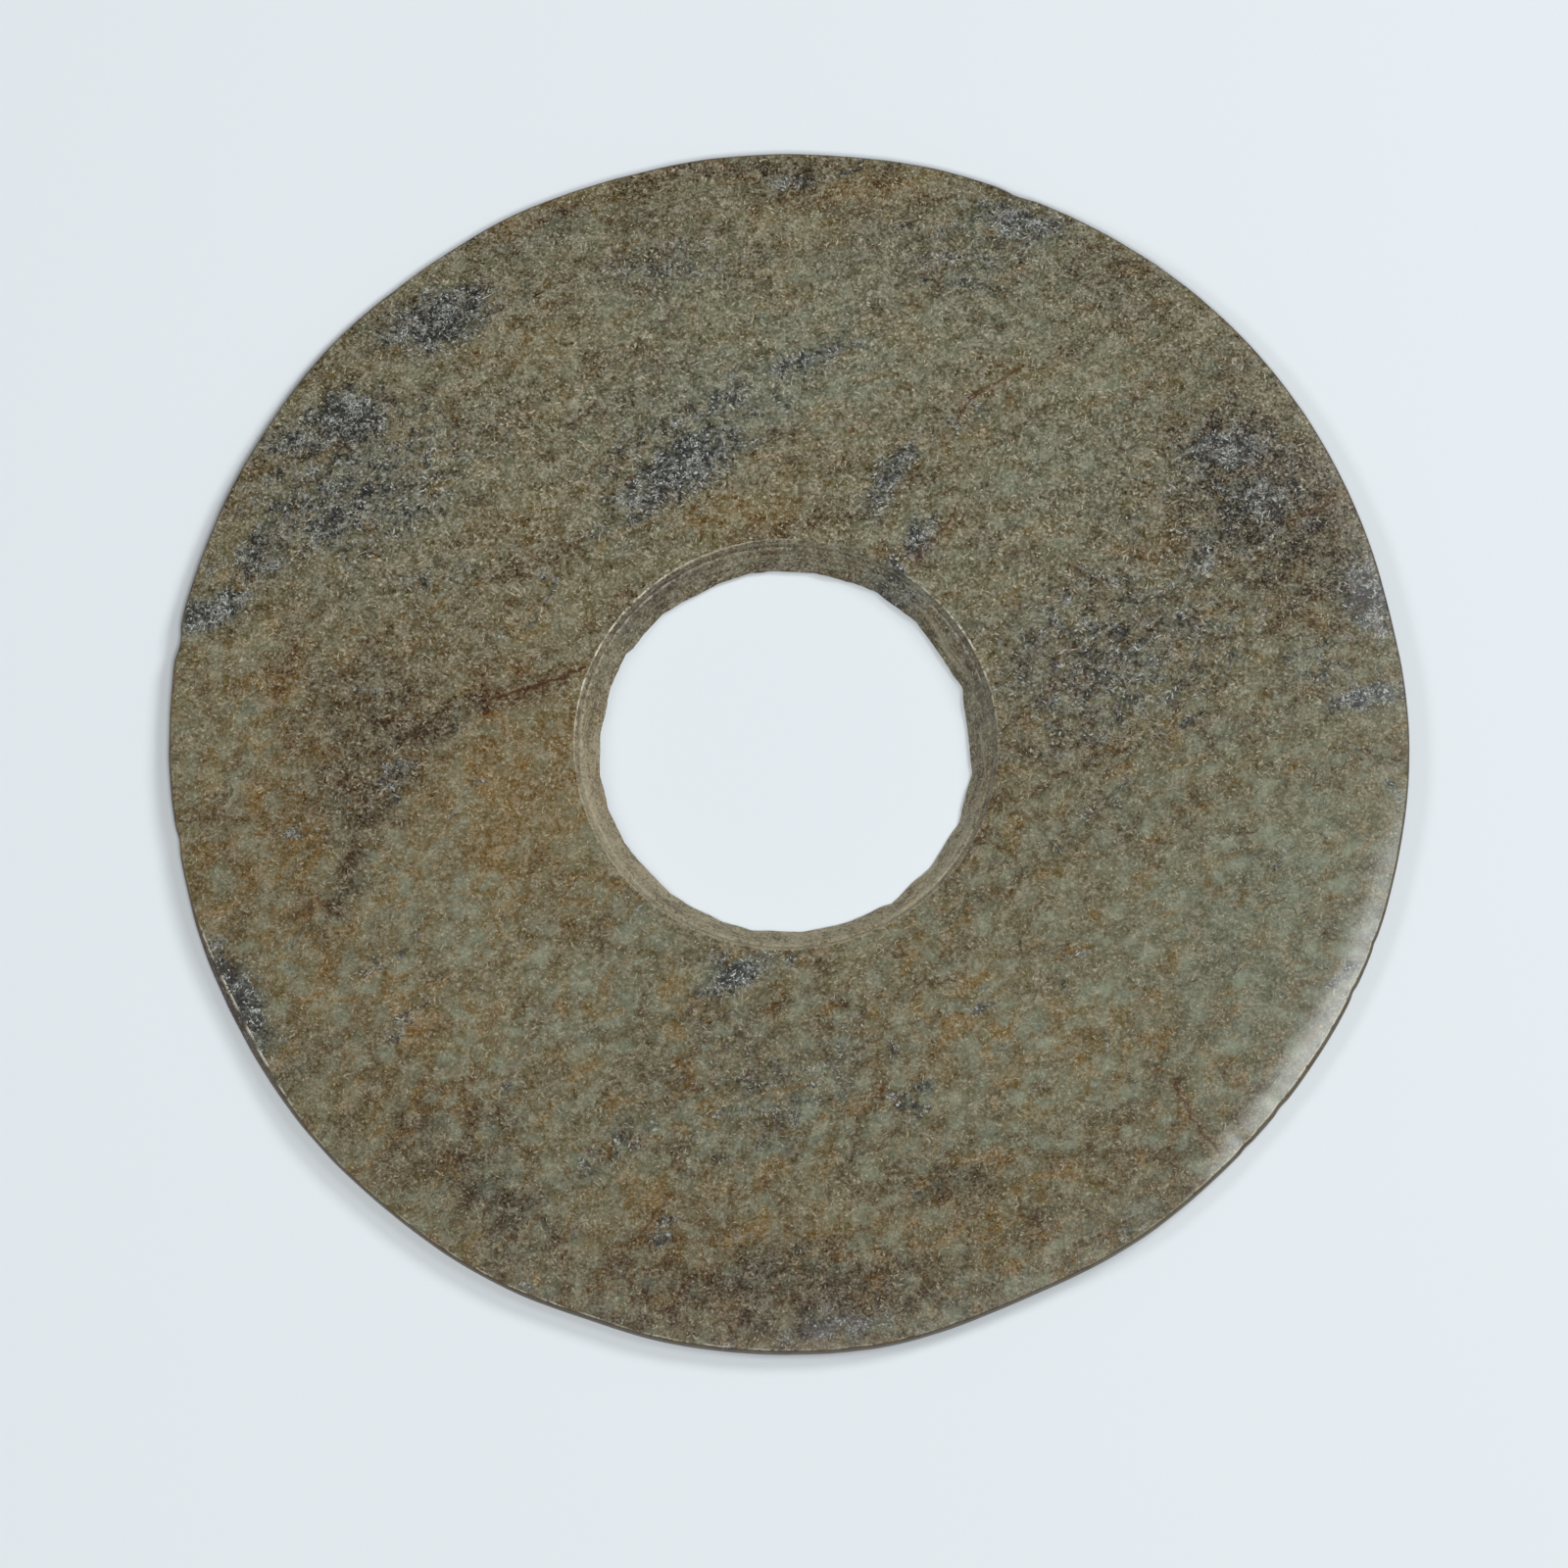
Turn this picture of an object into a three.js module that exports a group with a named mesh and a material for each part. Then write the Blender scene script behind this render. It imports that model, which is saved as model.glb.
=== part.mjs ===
// A jade bi disc: a thin, hand-ground ring of mottled nephrite that lies on its flat underside.
// Millimetres, +Z up. The underside rests on z = 0, and the outline is centred on the origin.
// The bore was drilled from the upper face with a tapering drill and broken out below, so it
// narrows downwards and ends in a ragged, chipped edge just above the underside.

import * as THREE from 'three';

// Plate
const discDiameter = 200; // mean outline, across the edge
const plateThickness = 5.6; // round the bore, where both faces are flat
const rimThickness = 2.9; // height of the edge band
const rimLift = 0.9; // the underside rises this much to the edge band
const faceRollWidth = 30; // the upper face thins over this width, up to the edge
const undersideRollWidth = 12; // the underside rises over this width
const edgeBevel = 0.45; // usual width of the worn upper arris of the edge
const edgeRound = 0.8; // the lower arris of the edge is worn rounder

// Bore
const boreMouthDiameter = 68.6; // upper mouth
const boreWaistDiameter = 59.8; // the narrowest ring, at the broken-out edge
const boreOffset = new THREE.Vector2(-0.36, 0); // the bore is a little off the outline's centre
const waistHeight = 0.8; // the ragged edge stands this far above the underside
const breakoutWidth = 1.1; // the break-out flares this much wider, down to the underside
const mouthArris = 0.35; // small rubbed bevel round the mouth
const ledgeDepth = 1.5; // where the drill was changed, below the upper face
const ledgeWidth = 0.45; // and the narrow ledge that it left
const collarWidth = 0.95; // slope of the wall between the mouth and the ledge

// The upper face is ground a little lower along one stretch of the edge: degrees, and mm
const planedFlat = { at: -29, reach: 30, drop: 0.45 };

// Slow swells and flats of the outline: degrees from +X, reach to either side, and rise in mm
const outlineSwells = [
  { at: 0, reach: 13, rise: 0.3 },
  { at: 14, reach: 7, rise: -0.12 },
  { at: 45, reach: 36, rise: 1.0 },
  { at: 76, reach: 10, rise: 0.35 },
  { at: 105, reach: 8, rise: -0.2 },
  { at: 117, reach: 6, rise: 0.18 },
  { at: 139, reach: 12, rise: 0.4 },
  { at: 155, reach: 11, rise: 0.22 },
  { at: 168, reach: 11, rise: 0.42 },
  { at: 191, reach: 11, rise: -0.4 },
  { at: 206, reach: 14, rise: -0.28 },
  { at: 230, reach: 10, rise: -0.16 },
  { at: 251, reach: 9, rise: -0.42 },
  { at: 292, reach: 15, rise: -0.95 },
  { at: 312, reach: 38, rise: -1.22 },
];

// Small nicks in the edge, and the stretches where its upper arris is worn or flaked wider
const edgeNicks = [
  { at: 68, reach: 3, rise: -0.25 },
  { at: 170, reach: 3, rise: -0.4 },
  { at: 189, reach: 3, rise: -0.2 },
];
const wornArrises = [
  { at: 207, reach: 15, rise: 0.8 },
  { at: 326, reach: 26, rise: 0.5 },
];

// Chips of the broken-out edge: degrees from +X, reach before and after, and depth into the
// stone in mm. A negative depth is a tooth of stone that was left standing.
const waistChips = [
  { at: 20, before: 4, after: 5, depth: 0.45 },
  { at: 61, before: 4, after: 9, depth: 0.35 },
  { at: 95, before: 4, after: 4, depth: 0.2 },
  { at: 101, before: 4, after: 6, depth: 0.3 },
  { at: 118, before: 8, after: 10, depth: -0.3 },
  { at: 131, before: 3, after: 10, depth: 0.4 },
  { at: 148, before: 3, after: 17, depth: 0.58 },
  { at: 168, before: 5, after: 6, depth: -0.25 },
  { at: 188, before: 7, after: 4, depth: 0.25 },
  { at: 199, before: 4, after: 5, depth: 0.2 },
  { at: 217, before: 9, after: 8, depth: 0.16 },
  { at: 240, before: 6, after: 5, depth: 0.14 },
  { at: 260, before: 4, after: 6, depth: 0.2 },
  { at: 304, before: 4, after: 9, depth: 0.58 },
  { at: 320, before: 6, after: 4, depth: 0.35 },
  { at: 337, before: 4, after: 5, depth: 0.36 },
  { at: 353, before: 4, after: 4, depth: 0.2 },
];

// Steps round the disc, and along each curved stretch of its section
const turnSteps = 160;
const faceRollSteps = 4;
const undersideRollSteps = 2;

const discRadius = discDiameter / 2;
const mouthRadius = boreMouthDiameter / 2;
const waistRadius = boreWaistDiameter / 2;
const edgeTop = rimLift + rimThickness;

// Signed angle in degrees from one direction to another, between -180 and 180
function degreesFrom(angle, at) {
  return THREE.MathUtils.euclideanModulo(angle - at + 180, 360) - 180;
}

// A smooth bump: 1 at its middle, 0 at its reach and beyond
function bump(angle, at, reach) {
  const share = Math.min(Math.abs(degreesFrom(angle, at)) / reach, 1);
  return 0.5 + 0.5 * Math.cos(Math.PI * share);
}

function sumOfBumps(angle, bumps) {
  return bumps.reduce((sum, { at, reach, rise }) => sum + rise * bump(angle, at, reach), 0);
}

// A chip is a sharp corner that runs out over its reach on either side
function chipDepth(angle) {
  return waistChips.reduce((sum, { at, before, after, depth }) => {
    const away = degreesFrom(angle, at);
    const reach = away < 0 ? before : after;
    return sum + depth * Math.max(0, 1 - Math.abs(away) / reach);
  }, 0);
}

function edgeRadius(angle) {
  return discRadius + sumOfBumps(angle, outlineSwells) + sumOfBumps(angle, edgeNicks);
}

// A face that leaves its flat gently and steepens up to the edge: 0 at the flat, 1 at the edge
function rollShare(step, steps) {
  return (step / steps) ** 2;
}

// The section of the ring at one angle, as a closed loop of radius and height. Radii of the
// plate are measured from the origin, and those of the bore from the bore's own axis.
function section(angle) {
  const edge = edgeRadius(angle);
  const round = Math.min(edgeRound, rimThickness / 3);
  const bevel = Math.min(edgeBevel + sumOfBumps(angle, wornArrises), rimThickness / 2);
  const shoulder = edgeTop - planedFlat.drop * bump(angle, planedFlat.at, planedFlat.reach);
  const waist = waistRadius + chipDepth(angle);

  const plate = [];
  for (let step = 0; step <= undersideRollSteps; step += 1) {
    const inset = undersideRollWidth + (round - undersideRollWidth) * (step / undersideRollSteps);
    plate.push([edge - inset, rimLift * rollShare(step, undersideRollSteps)]);
  }
  plate.push([edge, rimLift + round]);
  plate.push([edge, shoulder - bevel]);
  for (let step = faceRollSteps; step >= 0; step -= 1) {
    const inset = faceRollWidth + (bevel - faceRollWidth) * (step / faceRollSteps);
    const fall = (plateThickness - shoulder) * rollShare(step, faceRollSteps);
    plate.push([edge - inset, plateThickness - fall]);
  }

  const collar = mouthRadius - collarWidth;
  const ledge = collar - ledgeWidth;
  const ledgeHeight = plateThickness - ledgeDepth;
  const bore = [
    [mouthRadius, plateThickness],
    [mouthRadius - mouthArris, plateThickness - mouthArris],
    [collar, ledgeHeight],
    [ledge, ledgeHeight - ledgeWidth / 3],
    [(ledge + waist) / 2, (ledgeHeight + waistHeight) / 2],
    [waist, waistHeight],
    [waist + breakoutWidth, 0],
  ];
  return { plate, bore };
}

function place(radius, height, angle, centre) {
  const turn = THREE.MathUtils.degToRad(angle);
  return [centre.x + radius * Math.cos(turn), centre.y + radius * Math.sin(turn), height];
}

// The section is carried once round the disc, and each two neighbouring sections are joined
function ringGeometry() {
  const positions = [];
  const origin = new THREE.Vector2();
  let loopLength = 0;
  for (let turn = 0; turn < turnSteps; turn += 1) {
    const angle = (360 * turn) / turnSteps;
    const { plate, bore } = section(angle);
    plate.forEach(([radius, height]) => positions.push(...place(radius, height, angle, origin)));
    bore.forEach(([radius, height]) => positions.push(...place(radius, height, angle, boreOffset)));
    loopLength = plate.length + bore.length;
  }

  const indices = [];
  for (let turn = 0; turn < turnSteps; turn += 1) {
    const here = turn * loopLength;
    const next = ((turn + 1) % turnSteps) * loopLength;
    for (let point = 0; point < loopLength; point += 1) {
      const after = (point + 1) % loopLength;
      indices.push(here + point, next + point, next + after);
      indices.push(here + point, next + after, here + after);
    }
  }

  const geometry = new THREE.BufferGeometry();
  geometry.setAttribute('position', new THREE.Float32BufferAttribute(positions, 3));
  geometry.setIndex(indices);
  geometry.computeVertexNormals();
  return geometry;
}

function jadeDisc() {
  const nephrite = new THREE.MeshStandardMaterial({ color: 0x6f6956, roughness: 0.5, metalness: 0 });
  const disc = new THREE.Mesh(ringGeometry(), nephrite);
  disc.name = 'jade_disc';

  // The uneven outline is centred by its own box
  disc.geometry.computeBoundingBox();
  const middle = disc.geometry.boundingBox.getCenter(new THREE.Vector3());
  disc.position.set(-middle.x, -middle.y, 0);
  return disc;
}

const group = new THREE.Group();
group.add(jadeDisc());

export default group;
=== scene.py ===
import math

import bpy
import numpy as np
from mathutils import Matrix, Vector


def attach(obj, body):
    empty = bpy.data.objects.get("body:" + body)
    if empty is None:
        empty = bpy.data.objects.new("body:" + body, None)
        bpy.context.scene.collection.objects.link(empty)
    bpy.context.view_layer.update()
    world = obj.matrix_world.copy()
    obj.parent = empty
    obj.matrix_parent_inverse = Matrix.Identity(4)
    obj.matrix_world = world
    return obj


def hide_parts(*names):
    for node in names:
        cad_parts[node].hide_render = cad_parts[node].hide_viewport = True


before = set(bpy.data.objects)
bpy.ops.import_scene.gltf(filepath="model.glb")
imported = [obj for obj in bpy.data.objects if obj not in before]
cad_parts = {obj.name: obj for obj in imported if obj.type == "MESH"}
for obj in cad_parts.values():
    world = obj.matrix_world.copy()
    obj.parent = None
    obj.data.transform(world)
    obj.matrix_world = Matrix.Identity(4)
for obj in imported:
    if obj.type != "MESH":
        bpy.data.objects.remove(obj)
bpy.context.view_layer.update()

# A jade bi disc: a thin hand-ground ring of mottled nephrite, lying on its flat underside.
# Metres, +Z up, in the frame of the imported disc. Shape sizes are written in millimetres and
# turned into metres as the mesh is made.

MM = 0.001

# Plate
DISC_RADIUS = 100.0
PLATE_THICKNESS = 5.6
RIM_THICKNESS = 2.9
RIM_LIFT = 0.9
FACE_ROLL_WIDTH = 30.0
UNDERSIDE_ROLL_WIDTH = 12.0
RIM_ARRIS = 0.25
EDGE_ROUND = 0.8
FACE_EDGE_HEIGHT = RIM_LIFT + RIM_THICKNESS

# Bore
MOUTH_RADIUS = 34.3
WAIST_RADIUS = 29.9
BORE_OFFSET = (-0.36, 0.0)
WAIST_HEIGHT = 0.8
BREAKOUT_WIDTH = 1.1
MOUTH_ARRIS = 0.35
LEDGE_DEPTH = 1.5
LEDGE_WIDTH = 0.45
COLLAR_WIDTH = 0.95

# The upper face is ground lower along one stretch of the edge, in degrees and mm
PLANED_MIDDLE = -27
PLANED_REACH = 23
PLANED_WIDTH = 5.6
PLANED_DROP = 0.42
PLANED_ROUNDNESS = 1.9
FACE_FALL_POWER = 2.5

# Slow swells and flats of the outline: degrees from +X, reach to either side, rise in mm
OUTLINE_SWELLS = [
    (0, 13, 0.3),
    (14, 7, -0.12),
    (45, 36, 1.0),
    (76, 10, 0.35),
    (105, 8, -0.2),
    (117, 6, 0.18),
    (139, 12, 0.4),
    (155, 11, 0.22),
    (168, 11, 0.42),
    (191, 11, -0.4),
    (206, 14, -0.28),
    (230, 10, -0.16),
    (251, 9, -0.42),
    (292, 15, -0.95),
    (312, 38, -1.22),
]
EDGE_NICKS = [
    (68, 2.0, -0.3),
    (170, 2.2, -0.5),
    (189, 1.6, -0.25),
    (318, 1.0, -0.16),
    (323, 1.2, -0.2),
    (336, 0.9, -0.18),
    (341, 0.8, -0.14),
]
WORN_ARRISES = [
    (207, 15, 0.8),
    (326, 26, 0.25),
]

# Chips of the broken-out edge: degrees, reach before and after, depth into the stone in mm
WAIST_CHIPS = [
    (20, 4, 5, 0.45),
    (61, 4, 9, 0.35),
    (95, 4, 4, 0.2),
    (101, 4, 6, 0.3),
    (118, 8, 10, -0.3),
    (131, 3, 10, 0.4),
    (148, 3, 17, 0.58),
    (168, 5, 6, -0.25),
    (188, 7, 4, 0.25),
    (199, 4, 5, 0.2),
    (217, 9, 8, 0.16),
    (240, 6, 5, 0.14),
    (260, 4, 6, 0.2),
    (304, 4, 9, 0.58),
    (320, 6, 4, 0.35),
    (337, 4, 5, 0.36),
    (353, 4, 4, 0.2),
]

# Where the straight breaks of that edge meet, in degrees, and how much they cut the corner
BREAK_MEETINGS = [
    20.6, 45.7, 61, 69, 82, 94, 101, 112, 124, 130, 140, 148, 160, 174, 187, 198, 210, 232, 250,
    259, 275, 290, 304, 322, 337, 353,
]
BREAK_FLATNESS = 0.7

# These breaks widen the waist a little and take up part of the depth of the chips
BREAK_EASE = 0.3
CHIP_SHARE = 0.7

# How far the worked lines and faces waver, in mm
EDGE_WAVER = 0.012
ARRIS_WAVER = 0.02
WAIST_WAVER = 0.012
WAIST_HEIGHT_WAVER = 0.08
BREAKOUT_WAVER = 0.15
MOUTH_WAVER = 0.03
BAND_SWELL = 0.06
DRILL_GROOVE = 0.02
FACE_HOLLOW = 0.05
FACE_WAVER = 0.025

# Mesh steps round the disc, and along each stretch of its section
TURN_STEPS = 816
BREAKOUT_STEPS = 5
UNDERSIDE_STEPS = 20
UNDERSIDE_ROLL_STEPS = 8
ROUND_STEPS = 4
BAND_STEPS = 4
ARRIS_STEPS = 3
FACE_ROLL_STEPS = 19
FACE_STEPS = 20
CREASE_ANGLE = 38


# Shape of the disc

def degrees_from(angles, at):
    return (angles - at + 180) % 360 - 180


def bump(angles, at, reach):
    share = np.minimum(np.abs(degrees_from(angles, at)) / reach, 1)
    return 0.5 + 0.5 * np.cos(np.pi * share)


def sum_of_bumps(angles, bumps):
    return sum(rise * bump(angles, at, reach) for at, reach, rise in bumps)


def chip_depth(angles):
    depth = np.zeros_like(angles)
    for at, before, after, chip in WAIST_CHIPS:
        away = degrees_from(angles, at)
        reach = np.where(away < 0, before, after)
        depth += chip * np.maximum(0, 1 - np.abs(away) / reach)
    return depth


def break_facets(angles):
    """How far the straight breaks stand inside a round edge, in mm."""
    starts = np.array(BREAK_MEETINGS)
    ends = np.append(starts[1:], starts[0] + 360)
    turned = (angles - starts[0]) % 360 + starts[0]
    which = np.searchsorted(starts, turned, side="right") - 1
    half = np.radians(ends[which] - starts[which]) / 2
    off = np.radians(turned - (starts[which] + ends[which]) / 2)
    return BREAK_FLATNESS * WAIST_RADIUS * (np.cos(half) / np.cos(off) - 1)


def planed_away(angles, inset):
    """How much the planed flat takes off the face, so many mm in from the edge."""
    away = np.abs(degrees_from(angles, PLANED_MIDDLE)) / PLANED_REACH
    kept = np.clip((1 - away) / 0.35, 0, 1)
    narrowed = PLANED_WIDTH * (0.55 + 0.45 * kept)
    return PLANED_DROP * kept * np.maximum(0, 1 - inset / narrowed) ** PLANED_ROUNDNESS


def wobble(angles, fewest, most, seed):
    """An even, closed wobble round the disc, of about unit size, from waves of that many turns."""
    chance = np.random.default_rng(seed)
    turns = np.arange(fewest, most + 1)
    phases = chance.uniform(0, 2 * np.pi, len(turns))
    sizes = chance.uniform(0.4, 1, len(turns))
    waves = sizes[:, None] * np.cos(np.outer(turns, np.radians(angles)) + phases[:, None])
    return waves.sum(0) / math.sqrt((sizes ** 2).sum() / 2)


def hand_ground(x, y, shortest, longest, seed):
    """Soft unevenness of a hand-ground face at places in mm, of about unit size."""
    chance = np.random.default_rng(seed)
    total = np.zeros_like(x)
    count = 14
    for _ in range(count):
        length = chance.uniform(shortest, longest)
        turn = chance.uniform(0, np.pi)
        phase = chance.uniform(0, 2 * np.pi)
        total += np.cos(2 * np.pi * (x * np.cos(turn) + y * np.sin(turn)) / length + phase)
    return total / math.sqrt(count / 2)


def rows(first, last, count, skip_first=True):
    """Shares from first to last in even steps, without the first one unless it is asked for."""
    shares = np.linspace(first, last, count + 1)
    return shares[1:] if skip_first else shares


FACE, WALL, EDGE = 0, 1, 2


class DiscSection:
    """Rings of points round the disc, from the break-out, under the plate, round the rim and
    over the face to the mouth, and down the bore. Each ring keeps the finish that leads to it,
    and how strongly a painted highlight brightens its line."""

    def __init__(self):
        angles = np.arange(TURN_STEPS) * 360 / TURN_STEPS
        self.angles = angles
        self.turns = np.radians(angles)
        self.rings = []
        self.finishes = []
        self.painted_highlight = []

        edge = DISC_RADIUS + sum_of_bumps(angles, OUTLINE_SWELLS) + sum_of_bumps(angles, EDGE_NICKS)
        self.edge = edge + EDGE_WAVER * wobble(angles, 20, 90, 3)
        bevel = RIM_ARRIS + sum_of_bumps(angles, WORN_ARRISES)
        self.bevel = bevel + ARRIS_WAVER * wobble(angles, 12, 140, 4)
        self.mouth = MOUTH_RADIUS + MOUTH_WAVER * wobble(angles, 10, 70, 8)
        waist = WAIST_RADIUS + BREAK_EASE + CHIP_SHARE * chip_depth(angles) + break_facets(angles)
        self.waist = waist + WAIST_WAVER * wobble(angles, 40, 130, 5)
        self.waist_height = WAIST_HEIGHT + WAIST_HEIGHT_WAVER * wobble(angles, 10, 40, 6)
        self.breakout = self.waist + BREAKOUT_WIDTH + BREAKOUT_WAVER * wobble(angles, 8, 50, 7)
        # Painted highlights: bright lines painted along the rim's upper arris and the mouth's arris
        self.lit_rim = self.rim_highlight()
        self.lit_mouth = self.mouth_highlight()

        self.run_under_the_plate()
        self.round_the_rim()
        self.run_over_the_face()
        self.run_down_the_bore()

    def rim_highlight(self):
        """Painted highlight along the upper arris of the rim, in broken dashes."""
        broken = np.clip(0.5 + 0.9 * wobble(self.angles, 60, 150, 10), 0, 1)
        dashed = np.maximum(bump(self.angles, 207, 20), 0.5 * bump(self.angles, 255, 50))
        return np.maximum(broken * dashed, 0.5 * bump(self.angles, 326, 30))

    def mouth_highlight(self):
        """Painted highlight along the arris of the mouth."""
        lit = np.maximum(bump(self.angles, 145, 50), 0.8 * bump(self.angles, 32, 34))
        uneven = np.clip(0.8 + wobble(self.angles, 30, 90, 12), 0.3, 1)
        return np.clip(0.06 + 1.2 * lit, 0, 1) * uneven

    def about(self, radius, centre=(0.0, 0.0)):
        x = centre[0] + radius * np.cos(self.turns)
        y = centre[1] + radius * np.sin(self.turns)
        return np.stack([x, y], 1)

    def add(self, places, height, finish, painted_highlight=0.0):
        count = len(self.angles)
        self.rings.append(np.column_stack([places, np.broadcast_to(height, count)]))
        self.finishes.append(finish)
        self.painted_highlight.append(np.broadcast_to(painted_highlight, count))

    def run_under_the_plate(self):
        flare_start = self.about(self.waist, BORE_OFFSET)
        flare_end = self.about(self.breakout, BORE_OFFSET)
        for share in rows(0, 1, BREAKOUT_STEPS):
            scoop = self.waist_height * (1 - share) ** 1.4
            self.add(flare_start + (flare_end - flare_start) * share, scoop, WALL)
        roll_start = self.about(self.edge - UNDERSIDE_ROLL_WIDTH)
        for share in rows(0, 1, UNDERSIDE_STEPS):
            self.add(flare_end + (roll_start - flare_end) * share, 0.0, FACE)
        for share in rows(0, 1, UNDERSIDE_ROLL_STEPS):
            inset = UNDERSIDE_ROLL_WIDTH + (EDGE_ROUND - UNDERSIDE_ROLL_WIDTH) * share
            self.add(self.about(self.edge - inset), RIM_LIFT * share ** 2, FACE)

    def round_the_rim(self):
        for share in rows(0, 1, ROUND_STEPS):
            turn = share * np.pi / 2
            self.add(self.about(self.edge - EDGE_ROUND * (1 - np.sin(turn))),
                     RIM_LIFT + EDGE_ROUND * (1 - np.cos(turn)), EDGE)
        band_foot = RIM_LIFT + EDGE_ROUND
        band_head = FACE_EDGE_HEIGHT - planed_away(self.angles, self.bevel) - self.bevel
        for share in rows(0, 1, BAND_STEPS):
            swell = BAND_SWELL * np.sin(np.pi * share)
            height = band_foot + (band_head - band_foot) * share
            self.add(self.about(self.edge + swell), height, EDGE)
        for share in rows(0, 1, ARRIS_STEPS):
            height = band_head + self.bevel * share ** 0.8
            # The last ring of the arris carries the painted rim highlight
            self.add(self.about(self.edge - self.bevel * share), height, EDGE,
                     self.lit_rim * (share == 1))

    def run_over_the_face(self):
        # The first rings lie close together, which keeps the painted highlight beside the arris
        # narrow
        falls = np.concatenate([[1.0, 0.996, 0.992, 0.98], rows(0.96, 0, FACE_ROLL_STEPS, False)])
        for step, share in enumerate(falls):
            inset = FACE_ROLL_WIDTH + (self.bevel - FACE_ROLL_WIDTH) * share
            fall = (PLATE_THICKNESS - FACE_EDGE_HEIGHT) * share ** FACE_FALL_POWER
            height = PLATE_THICKNESS - fall - planed_away(self.angles, inset)
            self.add(self.about(self.edge - inset), height, FACE, self.lit_rim if step < 2 else 0.0)
        roll_end = self.about(self.edge - FACE_ROLL_WIDTH)
        beside_mouth = self.about(self.mouth + 0.12, BORE_OFFSET)
        for share in rows(0, 1, FACE_STEPS):
            self.add(roll_end + (beside_mouth - roll_end) * share, PLATE_THICKNESS, FACE)
        # The mouth's edge ring carries the painted mouth highlight
        self.add(self.about(self.mouth, BORE_OFFSET), PLATE_THICKNESS, FACE, self.lit_mouth)

    def run_down_the_bore(self):
        collar = MOUTH_RADIUS - COLLAR_WIDTH
        ledge = collar - LEDGE_WIDTH
        ledge_height = PLATE_THICKNESS - LEDGE_DEPTH
        shelf_height = ledge_height - LEDGE_WIDTH / 3
        arris_foot = MOUTH_RADIUS - MOUTH_ARRIS
        arris_height = PLATE_THICKNESS - MOUTH_ARRIS

        # Each stretch: its radius and height at the top and at the foot, its steps, and how
        # strongly a painted highlight brightens its first and last lines
        stretches = [
            (self.mouth, PLATE_THICKNESS, arris_foot, arris_height, 3, 1.0, 0.0),
            (arris_foot, arris_height, collar, ledge_height, 6, 0.0, 0.5),
            (collar, ledge_height, ledge, shelf_height, 3, 0.3, 0.0),
            (ledge, shelf_height, self.waist, self.waist_height, 16, 0.0, 0.0),
        ]
        for start, top, end, foot, count, first_shine, last_shine in stretches:
            for step, share in enumerate(rows(0, 1, count)):
                shine = first_shine if step == 0 else last_shine if share == 1 else 0.0
                height = top + (foot - top) * share
                turned = np.sin(9.0 * height + 0.3 * wobble(self.angles, 1, 4, 9))
                groove = DRILL_GROOVE * np.sin(np.pi * share) * turned
                radius = start + (end - start) * share + groove
                self.add(self.about(radius, BORE_OFFSET), height, WALL, shine * self.lit_mouth)


def keep_field(mesh, name, values):
    layer = mesh.attributes.new(name, "FLOAT", "POINT")
    layer.data.foreach_set("value", values.astype(np.float32))


def make_disc():
    ring = DiscSection()
    places = np.array(ring.rings)
    loops, turns = places.shape[:2]
    flat_top = np.isclose(places[:, :, 2], PLATE_THICKNESS)
    unevenness = hand_ground(places[:, :, 0], places[:, :, 1], 14, 60, 11)
    places[:, :, 2] -= np.where(flat_top, FACE_HOLLOW + FACE_WAVER * unevenness, 0)

    # The uneven outline is centred by its own box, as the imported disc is
    low, high = places.min((0, 1)), places.max((0, 1))
    places[:, :, :2] -= (low[:2] + high[:2]) / 2

    index = np.arange(loops * turns).reshape(loops, turns)
    after = np.roll(index, -1, 0)
    faces = np.stack([index, np.roll(index, -1, 1), np.roll(after, -1, 1), after], 2)
    mesh = bpy.data.meshes.new("jade_disc_stone")
    mesh.from_pydata((places.reshape(-1, 3) * MM).tolist(), [], faces.reshape(-1, 4).tolist())
    finish = np.repeat(np.roll(ring.finishes, -1), turns)
    # Painted highlight along the arrises, kept on each point
    keep_field(mesh, "painted_highlight", np.array(ring.painted_highlight).ravel())
    mesh.polygons.foreach_set("material_index", finish.astype(np.int32))
    mesh.polygons.foreach_set("use_smooth", np.ones(len(mesh.polygons), bool))
    mesh.set_sharp_from_angle(angle=math.radians(CREASE_ANGLE))
    mesh.update()
    disc = bpy.data.objects.new("jade_disc_stone", mesh)
    bpy.context.scene.collection.objects.link(disc)
    return disc


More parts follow.
